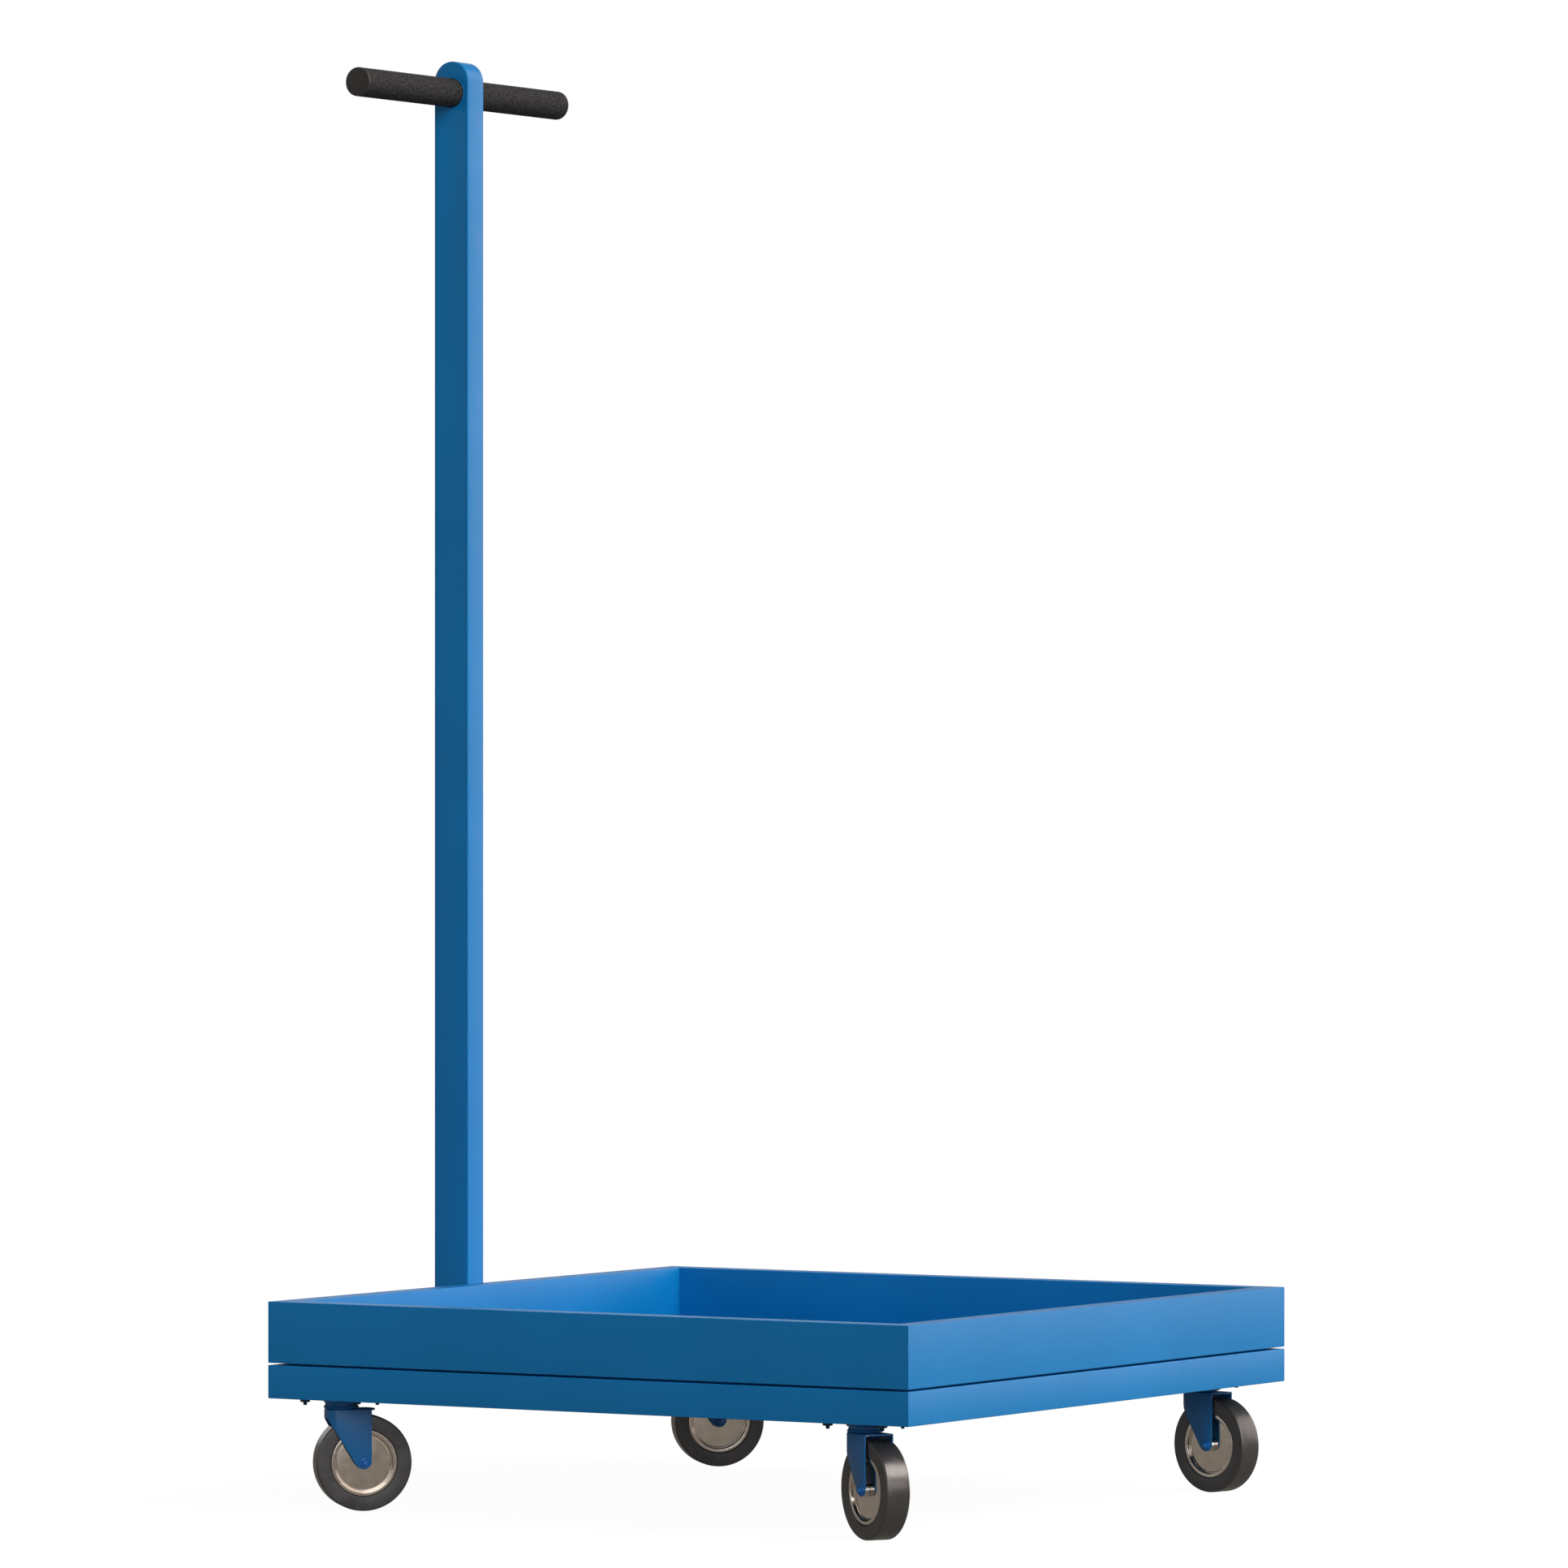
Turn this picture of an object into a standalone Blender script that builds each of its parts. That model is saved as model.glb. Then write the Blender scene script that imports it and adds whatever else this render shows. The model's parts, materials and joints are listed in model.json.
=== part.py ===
"""Platform trolley: a square open tray on a low base frame, one post with a T-bar handle at one end, and
four swivel casters.

Metres, +Z up. +X runs from the handle end to the free end, +Y to the left when pushing. The origin is on
the floor under the middle of the whole trolley. The casters stand at the swivel angles of the rest pose.
"""

import math

import bmesh
import bpy
from mathutils import Matrix, Vector

# Tray and base frame
DECK_LENGTH = 0.600
DECK_WIDTH = 0.608
DECK_CENTRE_X = 0.018
SHEET = 0.0015
SEAM = 0.00005
BASE_BOTTOM = 0.0907
BASE_HEIGHT = 0.0269
BASE_FLANGE = 0.030
BASE_LIP = 0.0105
FLOOR_INSET = 0.010
FLOOR_GAP = 0.0017
RIM_HEIGHT = 0.0494
RIM_WIDTH = 0.019
EDGE_RADIUS = 0.0010

# Post and handle
POST_DEPTH = 0.0336
POST_WIDTH = 0.0237
POST_Y = -0.0025
POST_BOTTOM = 0.0912
POST_TOP = 1.1880
POST_WALL = 0.0015
POST_EDGE = 0.0010
HANDLE_HEIGHT = 1.1617
HANDLE_LENGTH = 0.2995
GRIP_RADIUS = 0.0120
GRIP_HOLE_RADIUS = 0.0123
CORE_RADIUS = 0.0095
CORE_WALL = 0.0015
END_CAP = 0.0016
CAP_STEM = 0.012
CAP_EDGE = 0.0007
PLUG_INSET = 0.0005
PLUG_PLATE = 0.0020
PLUG_STEM = 0.0060
POST_BOLT_HEIGHTS = {"upper": 0.1340, "lower": 0.1040}
POST_BOLT_RADIUS = 0.0030
POST_BOLT_HEAD = 0.0100
POST_BOLT_GRIP = 0.0091

# Casters
REAR_INSET = 0.0476
FRONT_INSET = 0.0596
SIDE_INSET = 0.0346
STUD_SPACING_X = 0.0494
STUD_SPACING_Y = 0.0307
STUD_RADIUS = 0.00170
STUD_BOTTOM = 0.0851
NUT_WIDTH = 0.0070
NUT_HEIGHT = 0.0032
CORNER_PLATE = 0.0020
CASTER_PLATE_X = 0.0640
CASTER_PLATE_Y = 0.0430
CUP_RADIUS = 0.0144
CUP_NECK_RADIUS = 0.0131
CUP_BOTTOM = 0.0840
KINGPIN_RADIUS = 0.0040
RACE_RADIUS = 0.0142
FORK_TOP = 0.0823
FORK_SHEET = 0.0015
FORK_HALF_WIDTH = 0.0126
FORK_NOSE = 0.0131
NOSE_CORNER = 0.0082
TRAIL = 0.0171
LEG_BACK = 0.02285
CROWN_BULGE = 0.0045
CROWN_PROUD = 0.00005
LEG_END_RADIUS = 0.0067
LEG_END_HEIGHT = 0.0406
LEG_TAPER = math.radians(31.7)
AXLE_RADIUS = 0.0025
AXLE_FLANGE_RADIUS = 0.0048
AXLE_KNOB_RADIUS = 0.0028
SPACER_RADIUS = 0.0049
WHEEL_RADIUS = 0.0389
TYRE_HALF_WIDTH = 0.0103
TYRE_SHOULDER = 0.0016
DISC_RADIUS = 0.0267
DISC_STEP_RADIUS = 0.0229
DISC_FACE = 0.0070
DISC_LIP = 0.0098
RUN_GAP = 0.00015

# Flats round a turned piece
WHEEL_ROUND = 32
ROUND = 24
SMALL_ROUND = 12

# Each caster: which end and side it is at, and the direction its wheel trails in
CASTERS = {
    "rear_right": (-1, -1, math.radians(44.2)),
    "front_right": (1, -1, math.radians(-31.3)),
    "front_left": (1, 1, math.radians(-13.9)),
    "rear_left": (-1, 1, math.radians(42.7)),
}

BASE_TOP = BASE_BOTTOM + BASE_HEIGHT
RIM_BOTTOM = BASE_TOP + FLOOR_GAP
RIM_TOP = RIM_BOTTOM + RIM_HEIGHT
REAR_X = DECK_CENTRE_X - DECK_LENGTH / 2
FRONT_X = DECK_CENTRE_X + DECK_LENGTH / 2
POST_X = REAR_X - 2 * SEAM - POST_DEPTH / 2
UPRIGHT = Matrix.Identity(4)
ALONG_Y = Matrix(((1, 0, 0, 0), (0, 0, 1, 0), (0, 1, 0, 0), (0, 0, 0, 1)))
AT_POST = Matrix.Translation((POST_X, POST_Y, 0))


def material(name, colour, roughness, metallic=0.0):
    made = bpy.data.materials.new(name)
    made.use_nodes = True
    shader = made.node_tree.nodes["Principled BSDF"]
    shader.inputs["Base Color"].default_value = (*colour, 1.0)
    shader.inputs["Roughness"].default_value = roughness
    shader.inputs["Metallic"].default_value = metallic
    made.diffuse_color = (*colour, 1.0)
    return made


def make(name, bm, look):
    """Turns the bmesh into an object of its own; a piece with no look is a cutter and isn't rendered."""
    bmesh.ops.recalc_face_normals(bm, faces=bm.faces)
    mesh = bpy.data.meshes.new(name)
    bm.to_mesh(mesh)
    bm.free()
    made = bpy.data.objects.new(name, mesh)
    bpy.context.scene.collection.objects.link(made)
    if look is None:
        made.hide_render = True
    else:
        own = material(name, *look)
        mesh.materials.append(own)
    return made


def combine(target, other, operation):
    change = target.modifiers.new(other.name, "BOOLEAN")
    change.operation = operation
    change.solver = "EXACT"
    change.object = other


def loop_faces(bm, first, second):
    count = len(first)
    for i in range(count):
        j = (i + 1) % count
        bm.faces.new((first[i], first[j], second[j], second[i]))


def add_prism(bm, outline, low, high, place):
    """A straight prism: the outline lies in the first two axes of place, and runs along the third."""
    rings = []
    for level in (low, high):
        rings.append([bm.verts.new(place @ Vector((a, b, level))) for a, b in outline])
    loop_faces(bm, rings[0], rings[1])
    bm.faces.new(rings[0])
    bm.faces.new(rings[1])


def prism(name, outline, low, high, place, look):
    bm = bmesh.new()
    add_prism(bm, outline, low, high, place)
    return make(name, bm, look)


def add_turned(bm, profile, steps, place):
    """A closed (radius, height) profile turned about the third axis of place."""
    rings = []
    for radius, height in profile:
        if radius == 0:
            rings.append([bm.verts.new(place @ Vector((0, 0, height)))] * steps)
            continue
        ring = []
        for k in range(steps):
            turn = 2 * math.pi * k / steps
            point = Vector((radius * math.cos(turn), radius * math.sin(turn), height))
            ring.append(bm.verts.new(place @ point))
        rings.append(ring)
    for i, first in enumerate(rings):
        second = rings[(i + 1) % len(rings)]
        for k in range(steps):
            n = (k + 1) % steps
            corners = list(dict.fromkeys((first[k], first[n], second[n], second[k])))
            if len(corners) > 2:
                bm.faces.new(corners)


def turned(name, profile, steps, place, look):
    bm = bmesh.new()
    add_turned(bm, profile, steps, place)
    return make(name, bm, look)


def arc(centre, radius, start, end, steps):
    """Points on an arc, both ends included; the angles are in degrees."""
    points = []
    for k in range(steps + 1):
        turn = math.radians(start + (end - start) * k / steps)
        points.append((centre[0] + radius * math.cos(turn), centre[1] + radius * math.sin(turn)))
    return points


def rounded_box(low, high, radius, steps=2):
    """A rectangle with rounded corners, anticlockwise."""
    return (
        arc((high[0] - radius, low[1] + radius), radius, -90, 0, steps)
        + arc((high[0] - radius, high[1] - radius), radius, 0, 90, steps)
        + arc((low[0] + radius, high[1] - radius), radius, 90, 180, steps)
        + arc((low[0] + radius, low[1] + radius), radius, 180, 270, steps)
    )


def circle(radius, steps, centre=(0, 0), turn=0.0):
    return [
        (centre[0] + radius * math.cos(turn + 2 * math.pi * k / steps),
         centre[1] + radius * math.sin(turn + 2 * math.pi * k / steps))
        for k in range(steps)
    ]


def mitred_rail(name, outlines, corner, end, look):
    """A rail from corner to end with both ends cut at 45 degrees.

    The outlines are (inward distance, height) loops: the outer loop first, then the bore if it is a tube.
    """
    start = Vector((*corner, 0))
    along = Vector((*end, 0)) - start
    length = along.length
    along.normalize()
    inward = Vector((-along.y, along.x, 0))
    bm = bmesh.new()
    ends = []
    for outline in outlines:
        near, far = [], []
        for inset, height in outline:
            base = start + inward * inset + Vector((0, 0, height))
            near.append(bm.verts.new(base + along * (inset + SEAM)))
            far.append(bm.verts.new(base + along * (length - inset - SEAM)))
        loop_faces(bm, near, far)
        ends.append((near, far))
    for side in (0, 1):
        if len(ends) == 2:
            loop_faces(bm, ends[0][side], ends[1][side])
        else:
            bm.faces.new(ends[0][side])
    return make(name, bm, look)


BLUE = ((0.010, 0.115, 0.320), 0.38)
DARK_BLUE = ((0.006, 0.055, 0.170), 0.42)
STEEL = ((0.45, 0.44, 0.42), 0.30, 1.0)
ZINC = ((0.55, 0.55, 0.56), 0.35, 1.0)
DISC = ((0.42, 0.39, 0.35), 0.22, 1.0)
RUBBER = ((0.022, 0.022, 0.022), 0.60)
GRIP = ((0.035, 0.035, 0.037), 0.80)
PLASTIC = ((0.020, 0.020, 0.021), 0.50)


def rails():
    """The four rim tubes and the four base rails, mitred at the corners."""
    low, high = -DECK_WIDTH / 2, DECK_WIDTH / 2
    sides = {
        "right": ((REAR_X, low), (FRONT_X, low)),
        "front": ((FRONT_X, low), (FRONT_X, high)),
        "left": ((FRONT_X, high), (REAR_X, high)),
        "rear": ((REAR_X, high), (REAR_X, low)),
    }
    outer = rounded_box((0, RIM_BOTTOM), (RIM_WIDTH, RIM_TOP), EDGE_RADIUS)
    bore = rounded_box((SHEET, RIM_BOTTOM + SHEET), (RIM_WIDTH - SHEET, RIM_TOP - SHEET), 0.0004, 2)
    channel = (
        arc((EDGE_RADIUS, BASE_BOTTOM + EDGE_RADIUS), EDGE_RADIUS, 180, 270, 2)
        + [(BASE_LIP, BASE_BOTTOM), (BASE_LIP, BASE_BOTTOM + SHEET), (SHEET, BASE_BOTTOM + SHEET),
           (SHEET, BASE_TOP - SHEET), (BASE_FLANGE, BASE_TOP - SHEET), (BASE_FLANGE, BASE_TOP)]
        + arc((EDGE_RADIUS, BASE_TOP - EDGE_RADIUS), EDGE_RADIUS, 90, 180, 2)
    )
    made = {}
    for side, (corner, end) in sides.items():
        made["rim_" + side] = mitred_rail("rim_rail_" + side, [outer, bore], corner, end, BLUE)
        made["base_" + side] = mitred_rail("base_rail_" + side, [channel], corner, end, BLUE)
    return made


def deck():
    """The floor sheet of the tray, held between the base rails and the rim tubes."""
    low = (REAR_X + FLOOR_INSET, -DECK_WIDTH / 2 + FLOOR_INSET)
    high = (FRONT_X - FLOOR_INSET, DECK_WIDTH / 2 - FLOOR_INSET)
    outline = rounded_box(low, high, 0.004, 2)
    prism("deck_sheet", outline, BASE_TOP + SEAM, RIM_BOTTOM - SEAM, UPRIGHT, BLUE)


def post_and_handle(rail):
    """The post, its two bolts, its foot plug, and the handle bar through its top."""
    half = POST_DEPTH / 2
    upright = AT_POST @ ALONG_Y
    outline = [(-half, POST_BOTTOM), (half, POST_BOTTOM)] + arc((0, POST_TOP - half), half, 0, 180, 14)
    post = prism("post", outline, -POST_WIDTH / 2, POST_WIDTH / 2, upright, BLUE)
    edges = post.modifiers.new("edges", "BEVEL")
    edges.width = POST_EDGE
    edges.segments = 2
    edges.limit_method = "ANGLE"
    edges.angle_limit = math.radians(40)
    inside = half - POST_WALL
    bore = [(-inside, 0.0), (inside, 0.0)] + arc((0, POST_TOP - half), inside, 0, 180, 14)
    reach = POST_WIDTH / 2 - POST_WALL
    combine(post, prism("post_bore", bore, -reach, reach, upright, None), "DIFFERENCE")
    hole = circle(GRIP_HOLE_RADIUS, ROUND, (0, HANDLE_HEIGHT))
    combine(post, prism("grip_hole", hole, -POST_WIDTH, POST_WIDTH, upright, None), "DIFFERENCE")
    foot_plug(half, inside - RUN_GAP, reach - RUN_GAP)
    for which, height in POST_BOLT_HEIGHTS.items():
        post_bolt(which, height, post, rail["rim_rear" if which == "upper" else "base_rear"])
    handle()


def foot_plug(half, inside, reach):
    """The plastic plug in the open foot of the post: a thin plate and a stem that fills the tube."""
    side = POST_WIDTH / 2 - PLUG_INSET
    plate = rounded_box((PLUG_INSET - half, -side), (half - PLUG_INSET, side), 0.001)
    plug = prism("post_foot_plug", plate, POST_BOTTOM - PLUG_PLATE, POST_BOTTOM - SEAM, AT_POST, PLASTIC)
    stem = rounded_box((-inside, -reach), (inside, reach), 0.001)
    low, high = POST_BOTTOM - PLUG_PLATE / 2, POST_BOTTOM + PLUG_STEM
    combine(plug, prism("post_foot_stem", stem, low, high, AT_POST, None), "UNION")


def post_bolt(which, height, post, behind):
    """A hexagon-head bolt through the post into the rail behind it, and its hole in both."""
    head_side = AT_POST @ Matrix.Translation((-POST_DEPTH / 2, 0, height))
    along = head_side @ Matrix.Rotation(math.pi / 2, 4, "Y")
    length = POST_DEPTH + POST_BOLT_GRIP
    cutter = circle(POST_BOLT_RADIUS + RUN_GAP, 16)
    hole = prism("post_bolt_hole_" + which, cutter, -0.005, length + 0.002, along, None)
    combine(post, hole, "DIFFERENCE")
    combine(behind, hole, "DIFFERENCE")
    bolt = prism("post_bolt_" + which, circle(POST_BOLT_RADIUS, 16), -0.001, length, along, ZINC)
    head = circle(POST_BOLT_HEAD / math.sqrt(3), 6, turn=math.pi / 6)
    combine(bolt, prism("post_bolt_head_" + which, head, -0.0040, -SEAM, along, None), "UNION")


def handle():
    """The steel bar through the post, the rubber grip over it, and an end cap in each end."""
    lie = AT_POST @ Matrix.Translation((0, 0, HANDLE_HEIGHT)) @ Matrix.Rotation(-math.pi / 2, 4, "X")
    end = HANDLE_LENGTH / 2 - END_CAP
    bore = CORE_RADIUS - CORE_WALL
    core = [(bore, -end + SEAM), (CORE_RADIUS, -end + SEAM), (CORE_RADIUS, end - SEAM), (bore, end - SEAM)]
    turned("handle_core", core, ROUND, lie, STEEL)
    inner = CORE_RADIUS + SEAM
    grip = [(inner, -end), (GRIP_RADIUS, -end), (GRIP_RADIUS, end), (inner, end)]
    turned("handle_grip", grip, ROUND, lie, GRIP)
    plug = bore - RUN_GAP
    tip = end + END_CAP
    cap = [(0, end - CAP_STEM), (plug, end - CAP_STEM), (plug, end + SEAM), (GRIP_RADIUS, end + SEAM),
           (GRIP_RADIUS, tip - CAP_EDGE), (GRIP_RADIUS - CAP_EDGE, tip), (0, tip)]
    for side, sign in (("right", -1), ("left", 1)):
        turned("handle_end_cap_" + side, [(r, sign * h) for r, h in cap], ROUND, lie, PLASTIC)


def caster_mount(name, end, side):
    """The corner plate with its four studs, and the caster's plate with its pressed cup and four nuts."""
    centre_x = REAR_X + REAR_INSET if end < 0 else FRONT_X - FRONT_INSET
    centre = (centre_x, side * (DECK_WIDTH / 2 - SIDE_INSET))
    studs = []
    for sx in (-0.5, 0.5):
        for sy in (-0.5, 0.5):
            studs.append((centre[0] + sx * STUD_SPACING_X, centre[1] + sy * STUD_SPACING_Y))
    at = Matrix.Translation((*centre, 0))
    level = BASE_BOTTOM + SHEET

    edge_x = (REAR_X + SHEET if end < 0 else FRONT_X - SHEET) - end * 0.0003
    edge_y = side * (DECK_WIDTH / 2 - SHEET - 0.0003)
    far_x = centre[0] - end * (CASTER_PLATE_X / 2 + 0.014)
    far_y = centre[1] - side * (CASTER_PLATE_Y / 2 + 0.014)
    low = (min(edge_x, far_x), min(edge_y, far_y))
    high = (max(edge_x, far_x), max(edge_y, far_y))
    plate = prism("corner_plate_" + name, rounded_box(low, high, 0.0015, 1), level + SEAM,
                  level + CORNER_PLATE, UPRIGHT, BLUE)
    rods = bmesh.new()
    holes = bmesh.new()
    nuts = bmesh.new()
    for stud in studs:
        add_prism(rods, circle(STUD_RADIUS, 10, stud), STUD_BOTTOM, level + 0.0015, UPRIGHT)
        hole = circle(STUD_RADIUS + RUN_GAP, 10, stud)
        add_prism(holes, hole, STUD_BOTTOM - 0.002, level + 0.002, UPRIGHT)
        add_prism(nuts, circle(NUT_WIDTH / math.sqrt(3), 6, stud), BASE_BOTTOM - NUT_HEIGHT,
                  BASE_BOTTOM + 0.0005, UPRIGHT)
    combine(plate, make("studs_" + name, rods, None), "UNION")
    window = [(0, level - 0.002), (0.010, level - 0.002), (0.010, level + 0.005), (0, level + 0.005)]
    combine(plate, turned("pin_window_" + name, window, SMALL_ROUND, at, None), "DIFFERENCE")

    half = (CASTER_PLATE_X / 2, CASTER_PLATE_Y / 2)
    flat = rounded_box((-half[0], -half[1]), half, 0.006, 3)
    caster = prism("caster_plate_" + name, flat, BASE_BOTTOM, level - SEAM, at, BLUE)
    cup = [(0, BASE_BOTTOM + 0.0005), (CUP_RADIUS, BASE_BOTTOM + 0.0005), (CUP_RADIUS, 0.0878),
           (CUP_NECK_RADIUS, 0.0865), (CUP_NECK_RADIUS, CUP_BOTTOM), (0, CUP_BOTTOM)]
    combine(caster, turned("cup_" + name, cup, 20, at, None), "UNION")
    combine(caster, make("nuts_" + name, nuts, None), "UNION")
    combine(caster, make("stud_holes_" + name, holes, None), "DIFFERENCE")
    bore = KINGPIN_RADIUS + RUN_GAP
    through = [(0, 0.070), (bore, 0.070), (bore, 0.100), (0, 0.100)]
    pin_hole = turned("pin_hole_" + name, through, SMALL_ROUND, at, None)
    combine(caster, pin_hole, "DIFFERENCE")

    under = FORK_TOP - FORK_SHEET - 0.0003
    pin = [(0, level + 0.0026), (0.0060, level + 0.0026), (0.0074, level + 0.0012), (0.0074, level + SEAM),
           (KINGPIN_RADIUS, level + SEAM), (KINGPIN_RADIUS, under), (0.0065, under),
           (0.0065, under - 0.0012), (0.0052, under - 0.0020), (0, under - 0.0020)]
    turned("kingpin_" + name, pin, SMALL_ROUND, at, ZINC)
    return centre, pin_hole


def nose(grow):
    """The round front of the fork in plan, from its left side to its right side, grown by that much."""
    corner = NOSE_CORNER
    inset = (corner - FORK_NOSE, FORK_HALF_WIDTH - corner)
    left = arc(inset, corner + grow, 90, 180, 4)
    return left + [(x, -y) for x, y in reversed(left)]


def fork(name, place, pin_hole):
    """The bent-sheet fork: a flat crown, a round nose and two tapered legs."""
    thin = FORK_SHEET
    wide = FORK_HALF_WIDTH + CROWN_PROUD
    crown = nose(CROWN_PROUD)
    for k in range(7):
        share = -1 + k / 3
        crown.append((LEG_BACK + CROWN_PROUD + CROWN_BULGE * (1 - share * share), share * wide))
    made = prism("fork_" + name, crown, FORK_TOP - thin, FORK_TOP, place, DARK_BLUE)

    walls = nose(0) + [(0.040, -FORK_HALF_WIDTH), (0.040, FORK_HALF_WIDTH)]
    legs = prism("fork_legs_" + name, walls, 0.020, FORK_TOP - thin / 2, place, None)
    middle = (LEG_BACK - LEG_END_RADIUS, LEG_END_HEIGHT)
    lower = arc(middle, LEG_END_RADIUS, 0, -180 + math.degrees(LEG_TAPER), 8)
    rise = (lower[-1][0] + 0.016) / math.tan(LEG_TAPER)
    profile = [(-0.016, 0.090), (LEG_BACK, 0.090)] + lower + [(-0.016, lower[-1][1] + rise)]
    combine(legs, prism("fork_side_" + name, profile, -0.030, 0.030, place @ ALONG_Y, None), "INTERSECT")
    inner = nose(-thin) + [(0.050, -FORK_HALF_WIDTH + thin), (0.050, FORK_HALF_WIDTH - thin)]
    combine(legs, prism("fork_inside_" + name, inner, 0.010, 0.095, place, None), "DIFFERENCE")
    combine(made, legs, "UNION")

    hole = circle(AXLE_RADIUS + RUN_GAP, 12, (TRAIL, WHEEL_RADIUS))
    combine(made, prism("axle_hole_" + name, hole, -0.030, 0.030, place @ ALONG_Y, None), "DIFFERENCE")
    race = [(0, FORK_TOP - 0.0005), (0.0112, FORK_TOP - 0.0005), (0.0112, FORK_TOP + 0.0007),
            (RACE_RADIUS, FORK_TOP + 0.0007), (RACE_RADIUS, CUP_BOTTOM - 0.0002), (0, CUP_BOTTOM - 0.0002)]
    combine(made, turned("race_" + name, race, 20, place, None), "UNION")
    combine(made, pin_hole, "DIFFERENCE")


def wheel(name, place):
    """The axle with its nut, the two spacers, the metal disc wheel and its tyre."""
    axle = place @ Matrix.Translation((TRAIL, 0, WHEEL_RADIUS)) @ Matrix.Rotation(math.pi / 2, 4, "X")
    face = FORK_HALF_WIDTH + SEAM
    head = [(0, 0.0031), (0.0018, 0.0031), (AXLE_KNOB_RADIUS, 0.0022), (AXLE_KNOB_RADIUS, 0.0010),
            (AXLE_FLANGE_RADIUS, 0.0006), (AXLE_FLANGE_RADIUS, 0), (AXLE_RADIUS, 0)]
    bolt = [(radius, face + height) for radius, height in head]
    bolt += [(AXLE_RADIUS, -face - 0.0048), (0, -face - 0.0048)]
    turned("axle_" + name, bolt, 12, axle, BLUE)
    nut = prism("axle_nut_" + name, circle(0.0080 / math.sqrt(3), 6), -face - 0.0040, -face, axle, BLUE)
    bore = circle(AXLE_RADIUS + RUN_GAP / 2, 12)
    combine(nut, prism("nut_bore_" + name, bore, -0.030, 0.0, axle, None), "DIFFERENCE")

    bore = AXLE_RADIUS + RUN_GAP
    start = DISC_FACE + RUN_GAP
    stop = FORK_HALF_WIDTH - FORK_SHEET - SEAM
    middle = (start + stop) / 2
    for side, sign in (("right", 1), ("left", -1)):
        rings = [(bore, start), (SPACER_RADIUS, start), (SPACER_RADIUS, middle - 0.0003),
                 (SPACER_RADIUS - 0.0007, middle), (SPACER_RADIUS, middle + 0.0003), (SPACER_RADIUS, stop),
                 (bore, stop)]
        turned("spacer_" + side + "_" + name, [(r, sign * h) for r, h in rings], 12, axle, ZINC)

    seat = DISC_RADIUS
    step = DISC_STEP_RADIUS
    half = [(bore, DISC_FACE), (step - 0.0010, DISC_FACE), (step, DISC_FACE + 0.0008),
            (step + 0.0006, DISC_LIP - 0.0005), (step + 0.0012, DISC_LIP),
            (seat - 0.0004, DISC_LIP), (seat, DISC_LIP - 0.0004)]
    disc = half + [(r, -h) for r, h in reversed(half)]
    turned("wheel_disc_" + name, disc, WHEEL_ROUND, axle, DISC)

    wide = TYRE_HALF_WIDTH
    soft = TYRE_SHOULDER
    half = [(seat + SEAM, wide - 0.0006), (seat + 0.0010, wide)]
    half += [(WHEEL_RADIUS - soft + r, wide - soft + h) for r, h in arc((0, 0), soft, 90, 0, 2)]
    half[-1] = (WHEEL_RADIUS, wide - soft)
    tread = half + [(r, -h) for r, h in reversed(half)]
    turned("tyre_" + name, tread, WHEEL_ROUND, axle, RUBBER)


def build():
    for old in list(bpy.data.objects):
        bpy.data.objects.remove(old)
    rail = rails()
    deck()
    post_and_handle(rail)
    for name, (end, side, trail) in CASTERS.items():
        centre, pin_hole = caster_mount(name, end, side)
        place = Matrix.Translation((*centre, 0)) @ Matrix.Rotation(trail, 4, "Z")
        fork(name, place, pin_hole)
        wheel(name, place)


build()
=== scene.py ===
"""Looks of the platform trolley: surfaces, materials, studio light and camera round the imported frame."""

import json
import math

import bmesh
import bpy
from mathutils import Matrix, Vector


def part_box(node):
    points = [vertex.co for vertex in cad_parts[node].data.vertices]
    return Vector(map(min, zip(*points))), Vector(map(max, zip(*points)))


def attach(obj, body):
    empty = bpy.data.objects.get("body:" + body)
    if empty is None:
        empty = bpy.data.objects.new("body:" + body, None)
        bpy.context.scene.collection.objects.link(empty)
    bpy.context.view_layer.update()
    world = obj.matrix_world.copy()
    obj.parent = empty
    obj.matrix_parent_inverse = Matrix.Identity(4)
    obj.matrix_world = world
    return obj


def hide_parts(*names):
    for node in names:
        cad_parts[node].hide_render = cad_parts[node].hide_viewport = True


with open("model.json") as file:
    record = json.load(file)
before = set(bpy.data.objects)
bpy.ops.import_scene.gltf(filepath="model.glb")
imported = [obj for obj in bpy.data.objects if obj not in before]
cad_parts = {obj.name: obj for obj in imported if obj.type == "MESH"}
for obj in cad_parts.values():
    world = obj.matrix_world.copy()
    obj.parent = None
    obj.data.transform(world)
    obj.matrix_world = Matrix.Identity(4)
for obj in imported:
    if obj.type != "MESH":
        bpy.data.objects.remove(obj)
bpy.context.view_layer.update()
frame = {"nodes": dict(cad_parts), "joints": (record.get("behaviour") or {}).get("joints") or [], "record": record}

MM = 0.001
UPRIGHT = Matrix.Identity(4)
SIDES = ("right", "front", "left", "rear")
CASTERS = ("rear_right", "front_right", "front_left", "rear_left")

# Meshes: how close points are one, which edges are rounded, and how many steps go once round
MERGE = 1e-7
BEVEL_ANGLE = math.radians(40)
STEPS = {
    "grip_hole": 64, "grip": 96, "bolt_shank": 32, "hexagon": 48, "bore": 48, "race": 72,
    "axle_head": 64, "axle_tail": 48, "spacer": 64, "disc": 128, "tyre": 144, "stud": 24,
}

# Tray and base
TUBE_EDGE = 0.6 * MM
CUT_EDGE = 0.3 * MM
MITRE_GAP = 0.04 * MM
SHEET = 1.5 * MM
BASE_FLANGE = 30 * MM
BASE_LIP = 10.5 * MM
DECK_CORNER = 4 * MM
DECK_EDGE = 0.2 * MM

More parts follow.
